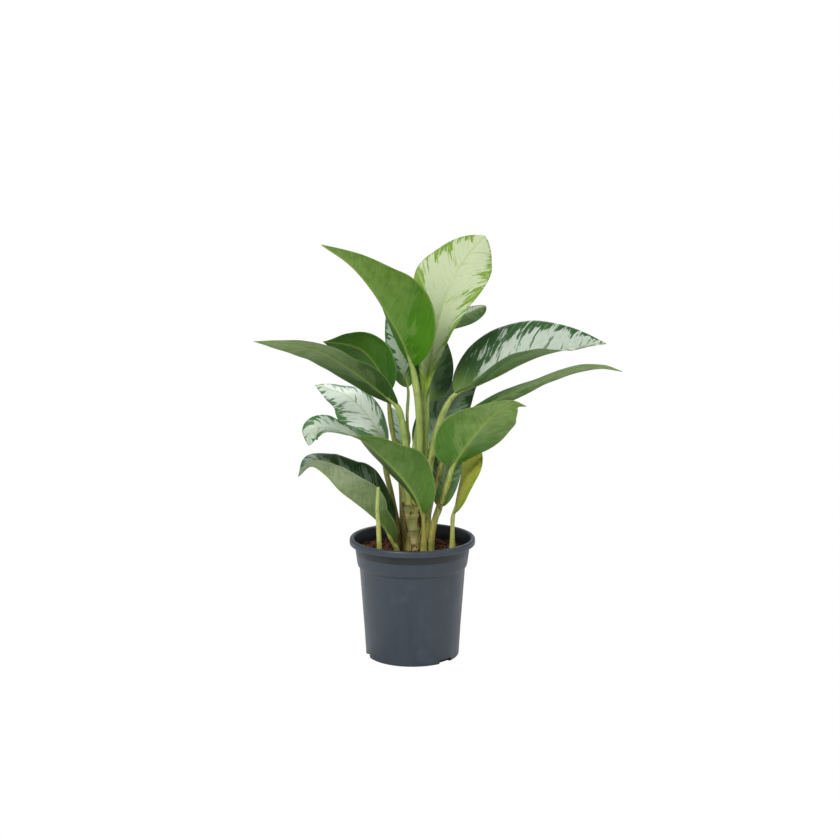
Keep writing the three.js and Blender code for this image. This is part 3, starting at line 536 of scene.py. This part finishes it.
def make_blade(name, leaf, seed):
    """Blade: upper and lower faces either side of the middle surface, thicker at the rib, joined at the edge."""
    rows, cols = 110, 45
    grid, normal, x, y, u, v = blade_surface(leaf, rows, cols, seed)
    taper = (1 - 0.75 * u)[:, None]
    ridge = 1.3 * taper * np.exp(-(y / (1.5 * taper + 0.2)) ** 2)
    thin = BLADE_HALF_THICK * (1 - 0.6 * np.abs(v) ** 6)
    top = grid + (thin - 0.25 * ridge)[..., None] * normal
    low = grid - (thin + ridge)[..., None] * normal
    xyz = np.concatenate([top.reshape(-1, 3), low.reshape(-1, 3)])
    n = rows * cols
    upper = grid_faces(rows, cols)
    lower = grid_faces(rows, cols, start=n)[:, ::-1]
    i = np.arange(rows - 1)
    j = np.arange(cols - 1)
    left = np.stack([i * cols, (i + 1) * cols, n + (i + 1) * cols, n + i * cols], 1)
    right = np.stack([i * cols + cols - 1, n + i * cols + cols - 1, n + (i + 1) * cols + cols - 1,
                      (i + 1) * cols + cols - 1], 1)
    foot = np.stack([j, n + j, n + j + 1, j + 1], 1)
    e = (rows - 1) * cols
    tip = np.stack([e + j, e + j + 1, n + e + j + 1, n + e + j], 1)
    faces = np.concatenate([upper, lower, left, right, foot, tip])
    slots = np.concatenate([np.zeros(len(upper)), np.ones(len(faces) - len(upper))])
    uu = np.stack([np.broadcast_to(u[:, None], x.shape), np.broadcast_to((v + 1) / 2, x.shape)], -1).reshape(-1, 2)
    mm = np.stack([x / 200, (y + 100) / 200], -1).reshape(-1, 2)
    top_mat = leaf_top(name + " upper side", leaf["top"][0], leaf["top"][1], leaf["pale"], seed, leaf.get("spots", 0),
                       leaf.get("shade", 0.35), leaf.get("tint", "#6f8c44"), leaf.get("flecks", 0.8))
    low_mat = leaf_under(name + " underside", leaf["under"][0], leaf["under"][1], leaf["pale"],
                         seed, leaf.get("spots", 0), leaf.get("through", 0.35))
    return mesh_object(name, xyz, faces, [top_mat, low_mat], slots,
                       {"leaf": np.concatenate([uu, uu]), "mm": np.concatenate([mm, mm])})


def tube(points, radii, rows=60, sides=20, groove=0.0, ease=0):
    """Round tube along a path; groove presses in the side that faces up and back by that share of the radius;
    ease: how many times each point moves half way to the middle of its neighbours."""
    c = path(points, rows)
    for _ in range(ease):
        c[1:-1] = (c[:-2] + 2 * c[1:-1] + c[2:]) / 4
    d = unit(np.gradient(c, axis=0))
    across = unit(np.cross(np.array([0.0, 1.0, 0.02]), d))
    over = np.cross(d, across)
    u = np.linspace(0, 1, rows)
    r = smooth(radii, u)[:, None]
    g = np.linspace(0, 2 * math.pi, sides, endpoint=False)[None, :]
    r = r * (1 - groove * np.exp(-((g - math.pi / 2) / 0.6) ** 2) * (1 - u[:, None]))
    r = r * (1 + 0.03 * ripple(u[:, None] * 14, 2 * g, 1.0))
    ring = c[:, None] + (r * np.cos(g))[..., None] * across[:, None] + (r * np.sin(g))[..., None] * over[:, None]
    xyz = np.concatenate([ring.reshape(-1, 3), c[:1], c[-1:]])
    faces = grid_faces(rows, sides, wrap=True).tolist()
    k = np.arange(sides)
    n = rows * sides
    e = (rows - 1) * sides
    faces += np.stack([np.full(sides, n), (k + 1) % sides, k], 1).tolist()
    faces += np.stack([np.full(sides, n + 1), e + k, e + (k + 1) % sides], 1).tolist()
    return xyz, faces


def make_stalk(name, leaf, mat):
    """Stalk running on under the first few millimetres of the rib so blade and stalk are one."""
    rib = path(leaf["rib"], 61)
    start = unit(rib[1] - rib[0])
    points = [list(p) for p in leaf["stalk"]]
    points += [list(rib[0] - 3 * start), list(rib[0] + 2 * start), list(rib[7])]
    foot, neck = leaf["foot"], leaf["neck"]
    radii = [foot * 1.35, foot * 1.1, (foot + neck) / 2, neck, neck, 0.9]
    xyz, faces = tube(points, radii, groove=0.3, ease=16)
    return mesh_object(name, xyz, faces, [mat])


# ---------------------------------------------------------------- pot, potting mix, cane
def lathe(profile, turns):
    """Surface of revolution from radius and height pairs, first and last on the axis."""
    p = np.asarray(profile, float)
    g = np.linspace(0, 2 * math.pi, turns, endpoint=False)
    body = p[1:-1]
    ring = np.stack([body[:, :1] * np.cos(g), body[:, :1] * np.sin(g), np.repeat(body[:, 1:], turns, 1)], -1)
    xyz = np.concatenate([ring.reshape(-1, 3), [[0, 0, p[0, 1]], [0, 0, p[-1, 1]]]])
    rows = len(body)
    k = np.arange(turns)
    n = rows * turns
    e = (rows - 1) * turns
    faces = grid_faces(rows, turns, wrap=True).tolist()
    faces += np.stack([np.full(turns, n), (k + 1) % turns, k], 1).tolist()
    faces += np.stack([np.full(turns, n + 1), e + k, e + (k + 1) % turns], 1).tolist()
    return xyz, faces


def rounded(profile, radius=0.5, steps=4):
    """The profile with each inner corner replaced by a short arc starting and ending radius away."""
    p = [np.asarray(q, float) for q in profile]
    out = [p[0]]
    for a, b, c in zip(p[:-2], p[1:-1], p[2:]):
        r1 = min(radius, np.linalg.norm(a - b) * 0.45)
        r2 = min(radius, np.linalg.norm(c - b) * 0.45)
        s, e = b + unit(a - b) * r1, b + unit(c - b) * r2
        for t in np.linspace(0, 1, steps):
            out.append((1 - t) ** 2 * s + 2 * t * (1 - t) * b + t ** 2 * e)
    return out + [p[-1]]


def make_pot():
    """Nursery pot with its turned-down lip, collar, step, taper and three drain notches."""
    h, rim, neck, rin = POT_HEIGHT, RIM_RADIUS, 55.0, 56.2
    profile = [
        [0, 0], [BASE_RADIUS - 1.1, 0], [BASE_RADIUS, 1.2], [46.3, 28], [48.4, 57], [50.4, STEP_Z - 3],
        [50.6, STEP_Z - 0.4], [52.2, STEP_Z + 0.4], [52.8, 91], [neck, 107], [rin, h - 2.4], [rim - 1.8, h - 1.9],
        [rim - 1.3, h - 6], [rim - 0.3, h - 6.1], [rim, h - 5.1], [rim - 0.2, h - 1.2], [rim - 1.2, h],
        [rin + 0.6, h], [rin - 0.6, h - 1.2], [neck - WALL, 107], [52.8 - WALL, 91], [50.4, STEP_Z - 0.2],
        [50.4 - WALL, STEP_Z - 3], [48.4 - WALL, 57], [46.3 - WALL, 28], [BASE_RADIUS - WALL, 2.4],
        [BASE_RADIUS - WALL - 0.9, 1.5], [0, 1.5]]
    xyz, faces = lathe(rounded(profile), 180)
    pot = mesh_object("moulded_pot", xyz, faces, [pot_material()])
    cutters = []
    for turn in (-45, -165, 75):
        a = math.radians(turn)
        box = np.array([[x, y, z] for x in (40, 49) for y in (-7.5, 7.5) for z in (-2, 4)], float)
        x, y = box[:, 0].copy(), box[:, 1].copy()
        box[:, 0], box[:, 1] = x * math.cos(a) - y * math.sin(a), x * math.sin(a) + y * math.cos(a)
        quads = [[0, 1, 3, 2], [4, 6, 7, 5], [0, 4, 5, 1], [2, 3, 7, 6], [0, 2, 6, 4], [1, 5, 7, 3]]
        cutter = mesh_object("notch", box, quads, [])
        cut = pot.modifiers.new("notch", "BOOLEAN")
        cut.operation = "DIFFERENCE"
        cut.solver = "EXACT"
        cut.object = cutter
        cutters.append(cutter)
    bpy.context.view_layer.update()
    solid = bpy.data.meshes.new_from_object(pot.evaluated_get(bpy.context.evaluated_depsgraph_get()))
    pot.modifiers.clear()
    pot.data = solid
    for cutter in cutters:
        bpy.data.objects.remove(cutter)
    solid.set_sharp_from_angle(angle=math.radians(38))
    return pot


def make_soil(rng):
    """Potting mix: a lumpy top on a plug, with coarse crumbs lying on it."""
    rows, turns = 70, 160
    r = np.linspace(0, 52.4, rows)[1:]
    g = np.linspace(0, 2 * math.pi, turns, endpoint=False)
    x, y = r[:, None] * np.cos(g), r[:, None] * np.sin(g)
    z = SOIL_Z - 1.2 + 1.1 * ripple(x / 3.1, y / 2.7, 4.0) + 0.7 * ripple(x / 1.1, y / 1.3, 9.0)
    top = np.stack([x, y, z], -1)
    down = np.array([[51.0, 92.0], [48.7, 86.5], [46.8, 57.0], [44.7, 28.0], [43.0, 2.4]])
    low = np.stack([down[:, :1] * np.cos(g), down[:, :1] * np.sin(g), np.repeat(down[:, 1:], turns, 1)], -1)
    rings = np.concatenate([top, low])
    rows += len(down) - 1
    xyz = np.concatenate([rings.reshape(-1, 3), [[0, 0, SOIL_Z - 1]], [[0, 0, 2.2]]])
    k = np.arange(turns)
    n = rows * turns
    faces = grid_faces(rows, turns, wrap=True)[:, ::-1].tolist()
    faces += np.stack([np.full(turns, n), k, (k + 1) % turns], 1).tolist()
    e = (rows - 1) * turns
    faces += np.stack([np.full(turns, n + 1), e + (k + 1) % turns, e + k], 1).tolist()
    plug = mesh_object("potting_mix_plug", xyz, faces, [soil_material("potting mix", "#28150c", "#4c2e1c")])
    phi = (1 + 5 ** 0.5) / 2
    ico = unit(np.array([[-1, phi, 0], [1, phi, 0], [-1, -phi, 0], [1, -phi, 0], [0, -1, phi], [0, 1, phi],
                         [0, -1, -phi], [0, 1, -phi], [phi, 0, -1], [phi, 0, 1], [-phi, 0, -1], [-phi, 0, 1]]))
    tri = np.array([[0, 11, 5], [0, 5, 1], [0, 1, 7], [0, 7, 10], [0, 10, 11], [1, 5, 9], [5, 11, 4], [11, 10, 2],
                    [10, 7, 6], [7, 1, 8], [3, 9, 4], [3, 4, 2], [3, 2, 6], [3, 6, 8], [3, 8, 9], [4, 9, 5],
                    [2, 4, 11], [6, 2, 10], [8, 6, 7], [9, 8, 1]])
    count = 2200
    rr, gg = 50.0 * np.sqrt(rng.random(count)), 2 * math.pi * rng.random(count)
    place = np.stack([rr * np.cos(gg), rr * np.sin(gg), SOIL_Z - 0.6 + 1.4 * rng.random(count)], 1)
    size = (0.5 + 1.5 * rng.random(count) ** 2.2)[:, None, None]
    stretch = 0.5 + rng.random((count, 1, 3)) * np.array([1.3, 1.0, 0.5])
    lump = ico[None] * (1 + 0.3 * (rng.random((count, 12, 1)) - 0.5)) * size * stretch
    spin = 2 * math.pi * rng.random(count)[:, None]
    lx = lump[..., 0] * np.cos(spin) - lump[..., 1] * np.sin(spin)
    ly = lump[..., 0] * np.sin(spin) + lump[..., 1] * np.cos(spin)
    pts = (np.stack([lx, ly, lump[..., 2]], -1) + place[:, None]).reshape(-1, 3)
    tris = (tri[None] + 12 * np.arange(count)[:, None, None]).reshape(-1, 3)
    slots = np.repeat(rng.integers(0, 3, count), 20)
    crumbs = mesh_object("crumbs", pts, tris, [soil_material("dark crumb", "#1c100a", "#3c2416"),
                                               soil_material("brown crumb", "#352015", "#5e3a24"),
                                               soil_material("coir crumb", "#3c2314", "#6e482c")], slots)
    return [plug, crumbs]


def make_cane():
    """Cane with three swollen joints, widening at the top where the crown stalks leave it."""
    z = np.linspace(SOIL_Z - 9, CANE_TOP, 60)
    swell = sum(0.4 * np.exp(-((z - q) / 1.6) ** 2) for q in (111, 124, 137))
    r = CANE_RADIUS - 0.3 + swell + 2.2 / (1 + np.exp(-(z - 145) / 1.8))
    g = np.linspace(0, 2 * math.pi, 48, endpoint=False)
    rr = r[:, None] * (1 + 0.035 * ripple(3 * g[None, :], z[:, None] / 5, 2.0))
    ring = np.stack([rr * np.cos(g), rr * np.sin(g), np.repeat(z[:, None], 48, 1)], -1)
    xyz = np.concatenate([ring.reshape(-1, 3), [[0, 0, z[0]], [0, 0, z[-1] - 1]]])
    k = np.arange(48)
    faces = grid_faces(60, 48, wrap=True).tolist()
    faces += np.stack([np.full(48, 60 * 48), (k + 1) % 48, k], 1).tolist()
    faces += np.stack([np.full(48, 60 * 48 + 1), 59 * 48 + k, 59 * 48 + (k + 1) % 48], 1).tolist()
    return mesh_object("jointed_cane", xyz, faces, [cane_material()])


def make_sheath(name, turn, spread, top, mat):
    """Remains of an old leaf sheath: a thin shell wrapped on the cane that opens outwards and narrows upwards.
    The half angle is spread times (1 - 0.8 u^2) and the gap to the cane grows as 3 u^2, u up the sheath."""
    rows, cols = 40, 15
    u = np.linspace(0, 1, rows)[:, None]
    v = np.linspace(-1, 1, cols)[None, :]
    angle = np.radians(turn + spread * v * (1 - 0.8 * u ** 2))
    z = SOIL_Z - 4 + (top - SOIL_Z + 4) * u - 5 * u * v ** 2 + 0.6 * ripple(3 * v, 6 * u, turn)
    out = CANE_RADIUS + 1.0 + 3.0 * u ** 2 + 0.35 * ripple(4 * v, 9 * u, 2.0)
    shells = [np.stack([r * np.cos(angle), r * np.sin(angle), z], -1).reshape(-1, 3) for r in (out, out - 0.7)]
    n = rows * cols
    i, j = np.arange(rows - 1), np.arange(cols - 1)
    e = (rows - 1) * cols
    faces = np.concatenate([
        grid_faces(rows, cols)[:, ::-1], grid_faces(rows, cols, start=n),
        np.stack([i * cols, n + i * cols, n + (i + 1) * cols, (i + 1) * cols], 1)[:, ::-1],
        np.stack([i * cols + cols - 1, (i + 1) * cols + cols - 1, n + (i + 1) * cols + cols - 1,
                  n + i * cols + cols - 1], 1)[:, ::-1],
        np.stack([j, j + 1, n + j + 1, n + j], 1), np.stack([e + j, n + e + j, n + e + j + 1, e + j + 1], 1)])
    return mesh_object(name, np.concatenate(shells), faces, [mat])


def stand_for(ob, slot_name, *nodes):
    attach(ob, "root")
    if nodes:
        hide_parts(*nodes)


rng = np.random.default_rng(7)
stand_for(make_pot(), "pot_plastic", "pot")
plug, crumbs = make_soil(rng)
stand_for(plug, "potting_mix", "potting_mix")
stand_for(crumbs, "potting_mix")
stand_for(make_cane(), "cane_tissue", "cane")

plain = stalk_material("stalk tissue", "#9aad58", "#aaa955")
spotted = stalk_material("spotted stalk tissue", "#93a24e", "#a89c4c", spots=0.9)
brown = stalk_material("browning stalk tissue", "#84873e", "#8a7236", spots=1.0)
STALKS = {"left_silver": brown, "left_upper": brown, "right_long": brown, "left_inner": brown, "back_low": brown,
          "right_upper": spotted, "right_middle": spotted, "front_left": spotted, "back_right": spotted}
for number, (key, leaf) in enumerate(LEAVES.items()):
    stand_for(make_stalk("stalk_" + key, leaf, STALKS.get(key, plain)), "stalk_tissue", "leaf_" + key + "_stalk")
    blade = make_blade("blade_" + key, leaf, number + 1)
    stand_for(blade, "old_leaf" if key == "right_yellow" else "leaf_tissue", "leaf_" + key + "_blade")
for name, turn, spread, top in (("sheath_left", -158, 42, 150), ("sheath_right", -22, 36, 136),
                                ("sheath_front", -112, 20, 121)):
    sheath_mat = brown if name == "sheath_left" else spotted
    stand_for(make_sheath(name, turn, spread, top, sheath_mat), "cane_tissue")
xyz, faces = tube(CUT_STALK, CUT_STALK_RADII)
stand_for(mesh_object("old_cut_stalk", xyz, faces, [plain]), "stalk_tissue", "cut_stalk")


# ---------------------------------------------------------------- studio
def area_light(name, place, aim, size, power):
    lamp = bpy.data.lights.new(name, "AREA")
    lamp.shape = "DISK"
    lamp.size = size
    lamp.energy = power
    ob = bpy.data.objects.new(name, lamp)
    ob.location = place
    ob.rotation_euler = (Vector(aim) - Vector(place)).to_track_quat("-Z", "Y").to_euler()
    bpy.context.scene.collection.objects.link(ob)


def white_floor():
    """Floor that shows as plain white and gives back some light."""
    mat, tree = material("studio white")
    glow = node(tree, "ShaderNodeEmission", {"Color": (1, 1, 1, 1), "Strength": 1.0})
    soft = node(tree, "ShaderNodeBsdfDiffuse", {"Color": (0.8, 0.8, 0.8, 1)})
    seen = node(tree, "ShaderNodeLightPath").outputs["Is Camera Ray"]
    both = node(tree, "ShaderNodeMixShader", {0: seen, 1: soft.outputs[0], 2: glow.outputs[0]})
    tree.links.new(both.outputs[0], node(tree, "ShaderNodeOutputMaterial").inputs[0])
    s = 2500.0
    floor = mesh_object("floor", [[-s, -s, -0.3], [s, -s, -0.3], [s, s, -0.3], [-s, s, -0.3]], [[0, 1, 2, 3]], [mat])


def studio():
    scene = bpy.context.scene
    world = bpy.data.worlds.new("studio")
    scene.world = world
    world.use_nodes = True
    tree = world.node_tree
    tree.nodes.clear()
    seen = node(tree, "ShaderNodeLightPath").outputs["Is Camera Ray"]
    strength = maths(tree, "ADD", maths(tree, "MULTIPLY", seen, 0.6), 0.4)
    sky = node(tree, "ShaderNodeBackground", {"Color": (1, 1, 1, 1), "Strength": strength})
    tree.links.new(sky.outputs[0], node(tree, "ShaderNodeOutputWorld").inputs[0])
    area_light("key", (-0.7, -1.2, 1.3), (0, 0, 0.22), 0.7, 26)
    area_light("fill", (1.2, -0.9, 0.8), (0, 0, 0.2), 1.0, 5)
    area_light("top back", (0.3, 0.9, 1.4), (0, 0, 0.25), 0.8, 14)
    white_floor()
    camera = bpy.data.objects.new("camera", bpy.data.cameras.new("camera"))
    scene.collection.objects.link(camera)
    camera.location = (0.00728, -1.5, 0.4825)
    camera.rotation_euler = (math.radians(80.38), 0, 0)
    camera.data.lens = 69.1
    camera.data.sensor_width = 36.0
    camera.data.clip_start = 0.05
    scene.camera = camera
    scene.view_settings.view_transform = "Standard"
    scene.view_settings.look = "None"


studio()
